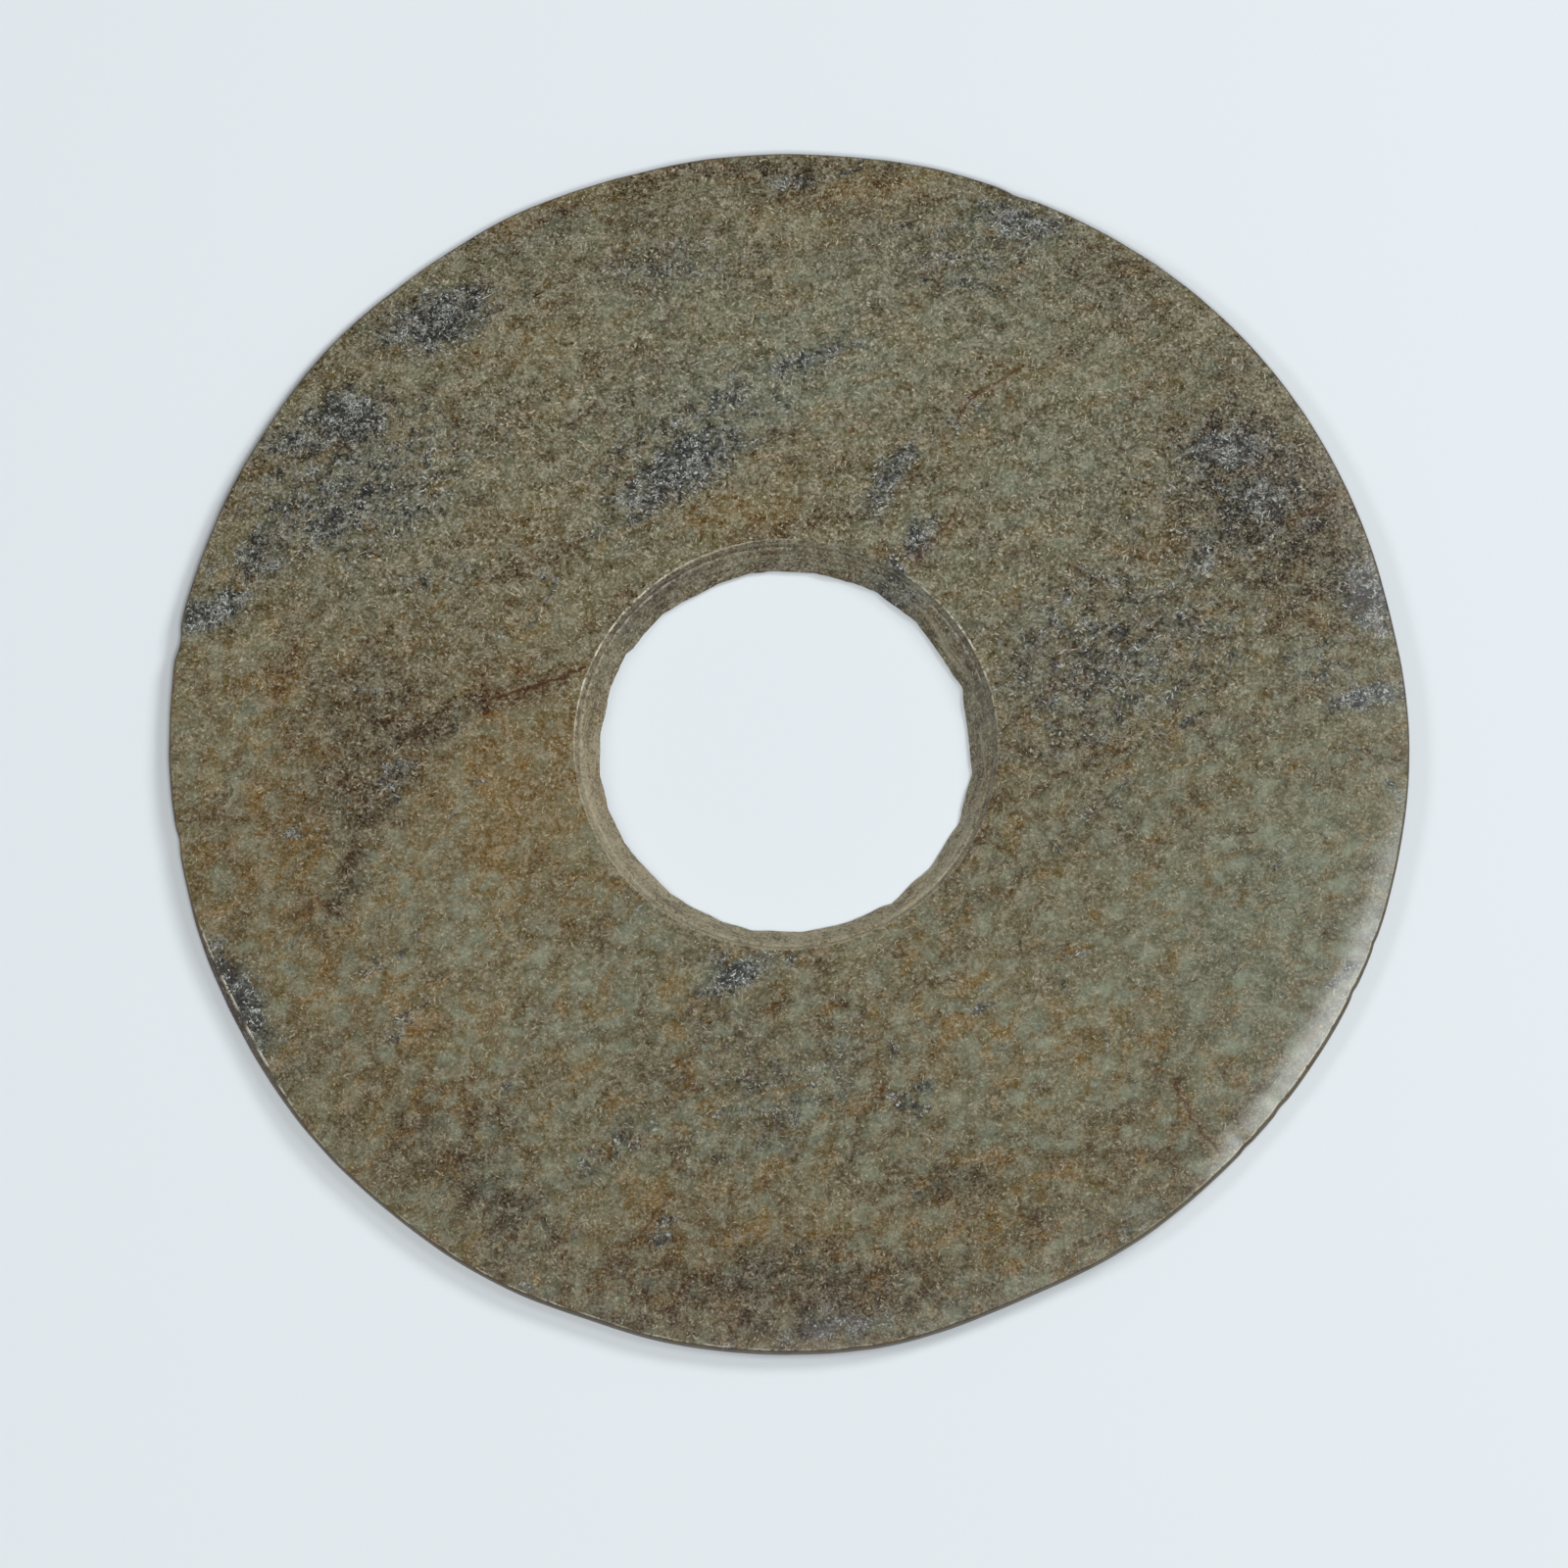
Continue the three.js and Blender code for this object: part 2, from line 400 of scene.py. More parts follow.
# Where the stone changes colour: x and y in mm from the disc's centre, half length and half
# width in mm, turn in degrees, and strength
GRAPHITE_MARKS = [
    (-57, 71.5, 10, 5, 22, 1.0),
    (-64, 68, 6, 3.5, 20, 0.5),
    (-72, 54.5, 8, 5, 22, 1.0),
    (-81, 51, 7, 3, 25, 0.7),
    (-74, 38, 10, 5, 25, 0.75),
    (-86, 31, 7, 4, 35, 0.7),
    (-94, 22, 8, 3, 25, 1.0),
    (-61, 39, 9, 3, 12, 0.6),
    (-57, 28, 9, 3, 12, 0.4),
    (-17, 47, 12, 5, 38, 1.0),
    (-25, 42, 6, 4, 20, 0.7),
    (-11, 57, 9, 3.5, 25, 0.6),
    (3, 64.5, 10, 2, 22, 0.75),
    (-20, 81, 12, 4.5, 8, 0.45),
    (-27, 38, 8, 4, 20, 0.35),
    (1, 95, 5, 1.6, 0, 0.7),
    (37, 88, 9, 3.6, -15, 0.8),
    (29, 78, 5, 2.4, -30, 0.5),
    (21, 34, 4.5, 3, 70, 1.0),
    (16.5, 45, 9, 3, 60, 0.7),
    (26, 54, 9, 3, 45, 0.4),
    (71, 49.5, 9, 4.5, 0, 0.8),
    (76, 41, 6, 4, -30, 0.75),
    (67, 31, 8, 3, 75, 0.6),
    (69, 21, 7, 3, 90, 0.4),
    (94, 25, 7, 4.5, -65, 0.9),
    (92.5, 8, 7, 2, 12, 1.0),
    (86, 13, 9, 5, 0, 0.4),
    (57, 12, 10, 5, 30, 0.35),
    (52, -8, 9, 4, 40, 0.35),
    (64, 3, 6, 3, 30, 0.35),
    (16.5, 28, 3.4, 2.6, 60, 0.9),
    (0, -32, 4, 2.4, 0, 0.5),
    (-9, -38.5, 7, 2.6, 30, 0.9),
    (0, -36, 4, 1.6, 40, 0.6),
    (-89, -42, 10, 4, 115, 1.0),
    (-64, -5, 6, 3.2, 50, 0.5),
    (9, -50, 10, 4, 70, 0.4),
    (0, -62, 11, 5, 45, 0.35),
    (-27, -67, 9, 4.5, 30, 0.45),
    (-46, -58, 8, 4, 50, 0.35),
    (-62, -47, 6, 4, 60, 0.45),
    (7, -96, 10, 2.6, 5, 0.6),
    (-4, -86, 8, 3, 30, 0.3),
    (52, -80, 8, 3, 35, 0.3),
    (-72, 42, 24, 13, 25, 0.55),
    (-15, 52, 22, 11, 28, 0.42),
    (52, 14, 28, 18, 25, 0.48),
    (72, 40, 18, 12, 0, 0.4),
    (-8, -58, 18, 12, 50, 0.3),
    (28, 82, 18, 8, -15, 0.35),
    (17, 26, 6, 3.5, -35, 0.7),
]
BROWN_MARKS = [
    (-45, 8.5, 12, 2.6, 18, 1.0),
    (-57, 3, 9, 4, 35, 1.0),
    (-66, -9, 9, 4, 55, 1.0),
    (-71, -22, 9, 3.6, 70, 0.9),
    (-75, -31, 8, 4, 80, 0.5),
    (-76, 6, 12, 9, 80, 0.6),
    (-50, 30, 14, 5, 12, 0.35),
    (-27, 57, 8, 4, 20, 0.4),
    (-40, 87, 16, 4, 22, 0.5),
    (-2, 97, 16, 2.6, 0, 0.8),
    (17, 90, 13, 6, 0, 0.4),
    (52, 80, 14, 6.5, -40, 0.5),
    (75, 66, 10, 3.5, -50, 0.5),
    (60, 33, 9, 6, 60, 0.5),
    (52, 22, 12, 8, 20, 0.35),
    (40, -18, 12, 7, 40, 0.4),
    (26, -73, 11, 4.5, 5, 0.9),
    (40, -78, 9, 4, 10, 0.6),
    (6, -82, 9, 4, 0, 0.5),
    (-46, -62, 10, 6, 20, 0.6),
    (-60, -64, 9, 5, -50, 0.6),
    (-38, -22, 8, 5, 30, 0.35),
    (62, -57, 6, 3, -50, 0.6),
    (15, -90, 26, 5, 3, 0.45),
    (-14, -46, 10, 5, 60, 0.35),
    (-68, -2, 24, 13, 65, 0.75),
    (0, -90, 46, 11, 0, 0.85),
    (-48, -74, 26, 10, -40, 0.7),
    (60, -70, 18, 6, 40, 0.35),
    (77, 42, 24, 14, -55, 0.95),
    (2, -68, 24, 10, 0, 0.35),
]
HONEY_MARKS = [
    (-40, -2.5, 10, 6.5, 50, 1.0),
    (-36, -12, 9, 6, 60, 0.9),
    (-57, -3, 8, 5, 50, 0.5),
    (-59, -20, 12, 7, 60, 0.6),
    (-48, -32, 12, 8, 60, 0.5),
    (-57, -40, 10, 7, 60, 0.45),
    (-9, 38.5, 10, 3.5, 5, 0.9),
    (26, -74, 12, 4, 5, 0.6),
    (-16, -86, 11, 5, 20, 0.7),
    (5, -79, 9, 4, 0, 0.6),
    (-77, -38, 11, 9, -60, 0.6),
    (-90, 6, 13, 6, 100, 0.6),
    (-92, -10, 9, 5, 100, 0.5),
    (-44, 67, 10, 4, 15, 0.4),
    (-38, 93, 10, 2.6, 22, 0.5),
    (16, 93, 9, 3, 0, 0.6),
    (45, -48, 11, 7, 30, 0.6),
    (31, -40, 9, 5, 40, 0.4),
    (31, 61, 8, 3.2, 40, 0.3),
    (60, 34, 6, 4, 60, 0.5),
    (-47, 37, 13, 5, 12, 0.35),
    (-46, -58, 9, 5, 20, 0.5),
    (4, 50, 10, 5, 30, 0.3),
    (-46, -8, 24, 20, 50, 0.85),
    (-84, -6, 30, 13, 95, 0.6),
    (-60, -46, 24, 15, -45, 0.55),
    (4, -84, 40, 10, 0, 0.5),
    (34, -46, 22, 12, 35, 0.35),
]
PALE_MARKS = [
    (40, 47, 20, 9, 40, 0.7),
    (31, 68, 14, 6.5, 20, 0.55),
    (60, 62, 14, 5, 10, 0.35),
    (85, -12, 14, 9, 60, 0.9),
    (69, -22, 20, 10, 45, 0.9),
    (62, -38, 17, 9, 45, 0.7),
    (41, -38, 10, 6.5, 40, 0.4),
    (86, 13, 7, 4, 0, 0.7),
    (-59, -20, 12, 8, 60, 0.7),
    (-47, -32, 10, 7, 60, 0.6),
    (-57, -42, 10, 6, 60, 0.6),
    (-29, -38, 10, 8, 60, 0.5),
    (-91, 6, 13, 5, 100, 0.8),
    (-93, -10, 9, 4, 100, 0.6),
    (-87, 28, 7, 3, 25, 0.3),
    (-51, -76, 10, 5.5, 40, 0.4),
    (4, -60, 12, 7, 50, 0.4),
    (-22, 73, 18, 6, 10, 0.45),
    (-38, 84, 11, 4, 20, 0.5),
    (4, 76, 14, 6, 20, 0.4),
    (13, 59, 12, 5, 25, 0.5),
    (47, 30, 12, 6.5, 45, 0.35),
    (-68, 27, 9, 3, 15, 0.35),
    (26, 85, 4, 2, 40, 0.6),
    (36, -92, 12, 4, 15, 0.3),
    (76, -28, 32, 20, 60, 1.0),
    (40, -50, 26, 15, 40, 0.6),
    (44, 46, 26, 15, 40, 0.55),
    (8, 64, 34, 16, 10, 0.5),
    (-50, -34, 20, 13, 60, 0.5),
]

# Rust veins and dark hairlines on the upper face: lines of places in mm, width in mm, strength
RUST_VEINS = [
    ([(-32.9, 12.7), (-40, 10), (-48, 7.4)], 0.55, 1.0),
    ([(38, 63.5), (29.5, 58.3), (28, 55)], 0.45, 0.8),
    ([(28, 55), (22, 47.5), (17, 42)], 0.3, 0.5),
    ([(25, 36.2), (22, 32.5), (19.7, 29.8)], 0.5, 0.9),
    ([(28, 41), (25, 36.2)], 0.35, 0.6),
    ([(90.5, 42.4), (86.5, 40), (81.2, 37.4)], 0.5, 0.7),
    ([(-19.5, -74.8), (-24.5, -82.3)], 0.4, 0.6),
    ([(61.4, -55.8), (65.3, -62.9), (69, -67.5)], 0.45, 0.7),
]


def marks_field(x, y, marks):
    """The strongest of the soft oval marks at each place, 0 to 1."""
    field = np.zeros_like(x)
    for at_x, at_y, long, wide, turn, strength in marks:
        across_x, across_y = x - at_x, y - at_y
        cosine, sine = math.cos(math.radians(turn)), math.sin(math.radians(turn))
        along = (across_x * cosine + across_y * sine) / long
        across = (-across_x * sine + across_y * cosine) / wide
        field = np.maximum(field, strength * np.exp(-(along ** 2 + across ** 2)))
    return field


def lay_out_colours(disc):
    """Soft maps of the stone's colours, kept on the mesh. The veins run through the plate."""
    mesh = disc.data
    co = np.zeros(len(mesh.vertices) * 3)
    mesh.vertices.foreach_get("co", co)
    x, y, _ = co.reshape(-1, 3).T / MM
    for name, marks in (("graphite", GRAPHITE_MARKS), ("brown", BROWN_MARKS),
                        ("honey", HONEY_MARKS), ("pale", PALE_MARKS)):
        keep_field(mesh, name, marks_field(x, y, marks))


# Node work

class Bench:
    """A node tree with one short call for each kind of node that the stone uses."""

    def __init__(self, tree):
        self.tree = tree

    def node(self, kind, inputs=(), **settings):
        made = self.tree.nodes.new(kind)
        for name, value in settings.items():
            setattr(made, name, value)
        for socket, value in dict(inputs).items():
            self.feed(made.inputs[socket], value)
        return made

    def feed(self, socket, value):
        if isinstance(value, bpy.types.NodeSocket):
            self.tree.links.new(value, socket)
        elif value is not None:
            socket.default_value = value

    def math(self, operation, first, second=None, third=None, clamp=False):
        made = self.node("ShaderNodeMath", {0: first, 1: second, 2: third},
                         operation=operation, use_clamp=clamp)
        return made.outputs[0]

    def vector(self, operation, first, second=None):
        made = self.node("ShaderNodeVectorMath", {0: first, 1: second}, operation=operation)
        return made.outputs[0]

    def scaled(self, vector, factor):
        made = self.node("ShaderNodeVectorMath", {0: vector, 3: factor}, operation="SCALE")
        return made.outputs[0]

    def turned(self, vector, degrees):
        made = self.node("ShaderNodeVectorRotate", {0: vector, "Angle": math.radians(degrees)},
                         rotation_type="Z_AXIS")
        return made.outputs[0]

    def span(self, value, low, high, to_low=0.0, to_high=1.0):
        made = self.node("ShaderNodeMapRange",
                         {0: value, 1: low, 2: high, 3: to_low, 4: to_high},
                         interpolation_type="SMOOTHSTEP")
        return made.outputs[0]

    def noise(self, vector, scale, detail=2.0, roughness=0.5, distortion=0.0):
        made = self.node("ShaderNodeTexNoise", {
            "Vector": vector, "Scale": scale, "Detail": detail,
            "Roughness": roughness, "Distortion": distortion})
        return made.outputs[0]

    def blend(self, factor, first, second):
        made = self.node("ShaderNodeMix", {0: factor, 6: first, 7: second},
                         data_type="RGBA", blend_type="MIX", clamp_factor=True)
        return made.outputs[2]

    def stain(self, colour, field, share, tint):
        """The colour with a tint laid over it, as strongly as the field times its share."""
        return self.blend(self.math("MULTIPLY", field, share), colour, tint)

    def drawn_out(self, place, stretch):
        """The place pressed together along x, which draws a texture out by the stretch."""
        pressed = self.node("ShaderNodeCombineXYZ", {
            0: self.math("DIVIDE", 1.0, stretch), 1: 1.0, 2: 1.0}).outputs[0]
        return self.vector("MULTIPLY", place, pressed)

    def dot(self, first, second):
        made = self.node("ShaderNodeVectorMath", {0: first, 1: second}, operation="DOT_PRODUCT")
        return made.outputs[1]

    def attribute(self, name):
        return self.node("ShaderNodeAttribute", attribute_name=name).outputs["Fac"]


def srgb(red, green, blue):
    """A colour as seen on a screen, 0 to 255, as the linear colour that a shader takes."""
    def linear(value):
        value = value / 255
        return value / 12.92 if value <= 0.04045 else ((value + 0.055) / 1.055) ** 2.4
    return (linear(red), linear(green), linear(blue), 1.0)


SOCKETS = {"value": "NodeSocketFloat", "vector": "NodeSocketVector", "colour": "NodeSocketColor"}


def new_group(name, takes, gives):
    """A node group with named sockets. Takes: name to kind and usual value. Gives: name to kind."""
    tree = bpy.data.node_groups.new(name, "ShaderNodeTree")
    for socket, (kind, usual) in takes.items():
        made = tree.interface.new_socket(socket, in_out="INPUT", socket_type=SOCKETS[kind])
        if usual is not None:
            made.default_value = usual
    for socket, kind in gives.items():
        tree.interface.new_socket(socket, in_out="OUTPUT", socket_type=SOCKETS[kind])
    bench = Bench(tree)
    return bench, bench.node("NodeGroupInput").outputs, bench.node("NodeGroupOutput").inputs


def use_group(bench, name, inputs):
    made = bench.node("ShaderNodeGroup", node_tree=bpy.data.node_groups[name])
    for socket, value in inputs.items():
        bench.feed(made.inputs[socket], value)
    return made.outputs


def group_drifting_cloud():
    """Wispy clouds drawn out along the stone's grain, 0 to 1."""
    bench, given, gives = new_group(
        "drifting_cloud",
        {"Place": ("vector", None), "Size": ("value", 5.0), "Stretch": ("value", 2.0),
         "Seed": ("value", 0.0), "Low": ("value", 0.35), "High": ("value", 0.65)},
        {"Cloud": "value"})
    laid = bench.drawn_out(given["Place"], given["Stretch"])
    moved = bench.vector("ADD", laid, bench.scaled((17.0, 31.0, 5.0), given["Seed"]))
    cloud = bench.noise(moved, bench.math("DIVIDE", 1.0, given["Size"]), detail=2.0,
                        roughness=0.6, distortion=0.7)
    bench.feed(gives["Cloud"], bench.span(cloud, given["Low"], given["High"]))


def group_ragged_patch():
    """Cuts a soft field into a patch with a ragged, speckled edge."""
    bench, given, gives = new_group(
        "ragged_patch",
        {"Place": ("vector", None), "Field": ("value", 0.0), "Size": ("value", 2.0),
         "Raggedness": ("value", 0.6), "Level": ("value", 0.45), "Edge": ("value", 0.12)},
        {"Patch": "value"})
    rough = bench.noise(given["Place"], bench.math("DIVIDE", 1.0, given["Size"]), detail=4.0,
                        roughness=0.62)
    shaken = bench.math("MULTIPLY_ADD", bench.math("SUBTRACT", rough, 0.5), given["Raggedness"],
                        given["Field"])
    low = bench.math("SUBTRACT", given["Level"], given["Edge"])
    high = bench.math("ADD", given["Level"], given["Edge"])
    bench.feed(gives["Patch"], bench.span(shaken, low, high))


def group_vein_stretch():
    """A straight stretch of a vein between two places, with a soft halo."""
    bench, given, gives = new_group(
        "vein_stretch",
        {"Place": ("vector", None), "Start": ("vector", None), "End": ("vector", None),
         "Width": ("value", 0.5)},
        {"Line": "value", "Halo": "value"})
    run = bench.vector("SUBTRACT", given["End"], given["Start"])
    away = bench.vector("SUBTRACT", given["Place"], given["Start"])
    share = bench.math("DIVIDE", bench.dot(away, run), bench.dot(run, run), clamp=True)
    nearest = bench.scaled(run, share)
    gap = bench.node("ShaderNodeVectorMath", {0: away, 1: nearest}, operation="DISTANCE").outputs[1]
    wide = bench.math("MULTIPLY", given["Width"], 4.0)
    bench.feed(gives["Line"], bench.span(gap, given["Width"], 0.0))
    bench.feed(gives["Halo"], bench.span(gap, wide, 0.0))


def group_pale_cells():
    """Round pale cells of clearer stone, a few millimetres wide, each of its own strength."""
    bench, given, gives = new_group(
        "pale_cells",
        {"Place": ("vector", None), "Size": ("value", 3.0), "Stretch": ("value", 1.4)},
        {"Cell": "value", "Strength": "value"})
    laid = bench.drawn_out(given["Place"], given["Stretch"])
    cell = bench.node("ShaderNodeTexVoronoi", {
        "Vector": laid, "Scale": bench.math("DIVIDE", 1.0, given["Size"])}, feature="F1")
    own = bench.node("ShaderNodeSeparateColor", {0: cell.outputs["Color"]}).outputs[0]
    bench.feed(gives["Cell"], bench.span(cell.outputs["Distance"], 0.66, 0.12))
    bench.feed(gives["Strength"], own)


def group_hairlines():
    """Fine broken lines along the stone's grain."""
    bench, given, gives = new_group(
        "hairlines",
        {"Place": ("vector", None), "Size": ("value", 4.0), "Stretch": ("value", 2.6),
         "Width": ("value", 0.02), "Seed": ("value", 0.0)},
        {"Line": "value"})
    laid = bench.drawn_out(given["Place"], given["Stretch"])
    moved = bench.vector("ADD", laid, bench.scaled((13.0, 7.0, 29.0), given["Seed"]))
    field = bench.noise(moved, bench.math("DIVIDE", 1.0, given["Size"]), detail=4.0, roughness=0.55)
    away = bench.math("ABSOLUTE", bench.math("SUBTRACT", field, 0.5))
    bench.feed(gives["Line"], bench.span(away, given["Width"], 0.0))


def group_stone_grain():
    """The fine sugar of the stone: its grain, dark pits, bright specks and felted pale fibres,
    and dark lines beside the fibres, partly gaps and partly painted shade that raises them.
    """
    bench, given, gives = new_group(
        "stone_grain",
        {"Place": ("vector", None)},
        {"Grain": "value", "Dark": "value", "Bright": "value", "Felt": "value", "Gap And Shade": "value"})
    place = given["Place"]
    coarse = bench.noise(place, 0.36, detail=2.0, roughness=0.9)
    dark = bench.noise(bench.vector("ADD", place, (41.0, 7.0, 3.0)), 1.6, detail=1.0, roughness=0.7)
    bright = bench.noise(bench.vector("ADD", place, (5.0, 37.0, 13.0)), 2.4, detail=1.0,
                         roughness=0.6)
    mixed = bench.math("ADD", bench.math("MULTIPLY", coarse, 0.3),
                       bench.math("MULTIPLY", dark, 0.22))
    bench.feed(gives["Grain"], bench.math("MULTIPLY_ADD", bright, 0.48, mixed))
    bench.feed(gives["Dark"], dark)
    needles = None
    for turn, seed in ((-25, 3.0), (-80, 11.0), (35, 23.0)):
        drawn = bench.vector("MULTIPLY", bench.turned(place, turn), (0.42, 1.0, 1.0))
        drawn = bench.vector("ADD", drawn, (seed, seed, seed))
        needle = bench.noise(drawn, 3.1, detail=0.0, distortion=0.25)
        needles = needle if needles is None else bench.math("MAXIMUM", needles, needle)
    bench.feed(gives["Bright"], bench.span(needles, 0.73, 0.83))
    curl = bench.noise(bench.vector("ADD", place, (11.0, 23.0, 3.0)), 1.15, detail=1.0,
                       roughness=0.5, distortion=1.2)
    away = bench.math("ABSOLUTE", bench.math("SUBTRACT", curl, 0.5))
    bench.feed(gives["Felt"], bench.math("MULTIPLY", bench.span(away, 0.055, 0.0),
                                         bench.span(coarse, 0.44, 0.58)))
    # Dark lines just beside the pale fibres: partly dark gaps, partly painted shade that makes the
    # fibres look raised
    beside = bench.math("ABSOLUTE", bench.math("SUBTRACT", curl, 0.41))
    bench.feed(gives["Gap And Shade"], bench.math("MULTIPLY", bench.span(beside, 0.05, 0.0),
                                        bench.span(coarse, 0.56, 0.44)))


OLIVE_TAN = srgb(111, 101, 71)
OLIVE_BROWN = srgb(87, 69, 42)
DARK_UMBER = srgb(46, 36, 26)
WARM_BROWN = srgb(68, 50, 32)
GREY_GREEN = srgb(115, 120, 102)
PALE_GREEN = srgb(140, 146, 124)
HONEY = srgb(128, 98, 48)
RUST = srgb(60, 33, 18)
SLATE = srgb(74, 80, 78)
BLUE_GREY = srgb(50, 54, 54)
BLACK_FLECK = srgb(24, 26, 27)
SILVER = srgb(178, 184, 182)
NEEDLE = srgb(188, 182, 156)
# Colour of the painted highlight along the arrises
HIGHLIGHT_COLOUR = srgb(206, 202, 182)
BORE_OLIVE = srgb(72, 62, 38)
# Colour of the painted light on the lit side of the bore
WALL_PAINTED_LIGHT = srgb(158, 146, 116)
RIM_BROWN = srgb(66, 46, 32)

# Linear colours: what a full lift of the grain adds, and the darkest that the stone gets
GRAIN_TINT = (1.0, 0.95, 0.78)
DARKEST = (0.012, 0.011, 0.009)

# The stone's grain runs across the disc at this turn in degrees, and fans out northward
GRAIN_TURN = -31
GRAIN_FAN = 0.0018

# The side of the bore that is painted paler as if lit, as seen from its middle; the opposite side
# is painted darker as shade
PAINTED_LIT_SIDE = (-0.3, -0.95, 0.0)

NEPHRITE_IOR = 1.61
RELIEF_DEPTH = 0.1
DRILL_RING_SPACING = 0.42


class StoneBody:
    """The places, soft maps and textures that the colours of the stone are mixed from."""

    def __init__(self, bench):
        self.bench = bench
        object_place = bench.node("ShaderNodeTexCoord").outputs["Object"]
        self.place = bench.scaled(object_place, 1 / MM)
        self.northward = bench.node("ShaderNodeSeparateXYZ", {0: self.place}).outputs[1]
        lean = bench.math("MULTIPLY_ADD", self.northward, GRAIN_FAN, math.radians(GRAIN_TURN))
        drawn = self.shaken(self.drift(0.14), 6.0)
        self.along_grain = bench.node("ShaderNodeVectorRotate", {0: drawn, "Angle": lean},
                                      rotation_type="Z_AXIS").outputs[0]
        self.ragged_off = self.drift(0.8)
        self.ragged_place = self.shaken(self.ragged_off, 1.6)

        self.graphite = bench.attribute("graphite")
        self.brown = bench.attribute("brown")
        self.honey = bench.attribute("honey")
        self.pale = bench.attribute("pale")
        self.brownness = self.cloud(5.0, 2.4, 1.0)
        self.grain = use_group(bench, "stone_grain", {"Place": self.place})
        self.cells = use_group(bench, "pale_cells", {
            "Place": bench.vector("ADD", self.along_grain, bench.scaled(self.ragged_off, 2.4)),
            "Size": 3.4})
        southness = bench.span(self.northward, 45.0, -45.0, 0.25, 0.55)
        clearness = self.cloud(8.0, 2.0, 3.0, 0.3, 0.6)
        self.clear = bench.math("MULTIPLY", bench.math("MULTIPLY_ADD", self.pale, 0.5, southness),
                                bench.math("MULTIPLY_ADD", clearness, 0.6, 0.4))

    def drift(self, scale):
        made = self.bench.node("ShaderNodeTexNoise", {
            "Vector": self.place, "Scale": scale, "Detail": 2.0})
        return self.bench.vector("SUBTRACT", made.outputs[1], (0.5, 0.5, 0.5))

    def shaken(self, off, reach):
        return self.bench.vector("ADD", self.place, self.bench.scaled(off, reach))

    def cloud(self, size, stretch, seed, low=0.35, high=0.65):
        return use_group(self.bench, "drifting_cloud", {
            "Place": self.along_grain, "Size": size, "Stretch": stretch, "Seed": seed,
            "Low": low, "High": high})["Cloud"]


def ground_colours(body):
    """Olive stone that turns brown, grey green, slate and honey, with its pale cells."""
    bench = body.bench
    colour = bench.blend(body.brownness, OLIVE_TAN, OLIVE_BROWN)
    broad = body.cloud(22.0, 2.2, 7.0, 0.3, 0.7)
    northness = bench.span(body.northward, -20.0, 60.0, 0.0, 0.1)
    colour = bench.blend(bench.math("MULTIPLY_ADD", broad, 0.25, northness), colour, GREY_GREEN)
    colour = bench.stain(colour, body.pale, 0.6, GREY_GREEN)
    colour = bench.stain(colour, body.graphite, 0.55, SLATE)
    colour = bench.stain(colour, body.brown, 0.55, WARM_BROWN)
    warmth = body.cloud(3.6, 1.8, 2.0, 0.48, 0.7)
    warm = bench.math("MULTIPLY", warmth, bench.span(body.northward, 45.0, -45.0, 0.3, 0.52))
    colour = bench.blend(bench.math("MULTIPLY_ADD", body.honey, 0.6, warm), colour, HONEY)

    cell_colour = bench.blend(body.cells["Strength"], GREY_GREEN, PALE_GREEN)
    cell = bench.math("MULTIPLY_ADD", body.cells["Cell"], 1.1, 0.05)
    colour = bench.stain(colour, cell, body.clear, cell_colour)
    flecks = use_group(bench, "pale_cells", {
        "Place": bench.vector("ADD", body.ragged_place, (9.0, 4.0, 0.0)), "Size": 1.2})
    small = bench.math("MULTIPLY", flecks["Cell"], flecks["Strength"])
    return bench.stain(colour, small, 0.3, PALE_GREEN)


def add_umber(body, colour):
    """Dark brown patches, specks, and dark lines beside the fibres: partly gaps, partly painted
    shade.
    """
    bench = body.bench
    umber = use_group(bench, "ragged_patch", {
        "Place": body.ragged_place, "Field": body.brown, "Size": 3.0, "Raggedness": 1.5,
        "Level": 0.58, "Edge": 0.3})["Patch"]
    colour = bench.stain(colour, umber, 0.55, DARK_UMBER)
    specks = bench.math("MULTIPLY", bench.span(body.grain["Dark"], 0.53, 0.66),
                        body.cloud(3.2, 1.6, 4.0, 0.44, 0.66))
    between = bench.math("SUBTRACT", 1.0, bench.math("MULTIPLY", body.cells["Cell"], 0.8))
    mottle = bench.math("MULTIPLY", specks, between)
    colour = bench.stain(colour, mottle, bench.math("MULTIPLY_ADD", body.brown, 0.5, 0.14),
                         DARK_UMBER)
    # Dark lines beside the fibres: partly dark gaps, partly painted shade
    gap_and_shade_share = bench.math("MULTIPLY_ADD", body.brownness, 0.2, 0.04)
    return bench.stain(colour, body.grain["Gap And Shade"], gap_and_shade_share, DARK_UMBER)


def graphite_patch(body):
    """The marked graphite and a little that strays from it, with ragged edges."""
    bench = body.bench
    stray = bench.math("MULTIPLY", body.cloud(8.0, 1.8, 5.0, 0.62, 0.74), 0.5)
    return use_group(bench, "ragged_patch", {
        "Place": body.ragged_place, "Field": bench.math("MAXIMUM", body.graphite, stray),
        "Size": 2.6, "Raggedness": 1.7, "Level": 0.52, "Edge": 0.34})["Patch"]


def rust_veins(body):
    """The marked veins, and the soft halo beside them."""
    bench = body.bench
    line, halo = None, None
    level = bench.vector("MULTIPLY", body.shaken(body.ragged_off, 1.7), (1.0, 1.0, 0.0))
    for places, width, strength in RUST_VEINS:
        for start, end in zip(places, places[1:]):
            stretch = use_group(bench, "vein_stretch", {
                "Place": level, "Start": (*start, 0.0), "End": (*end, 0.0), "Width": width})
            thin = bench.math("MULTIPLY", stretch["Line"], strength)
            soft = bench.math("MULTIPLY", stretch["Halo"], strength)
            line = thin if line is None else bench.math("MAXIMUM", line, thin)
            halo = soft if halo is None else bench.math("MAXIMUM", halo, soft)
    return line, halo


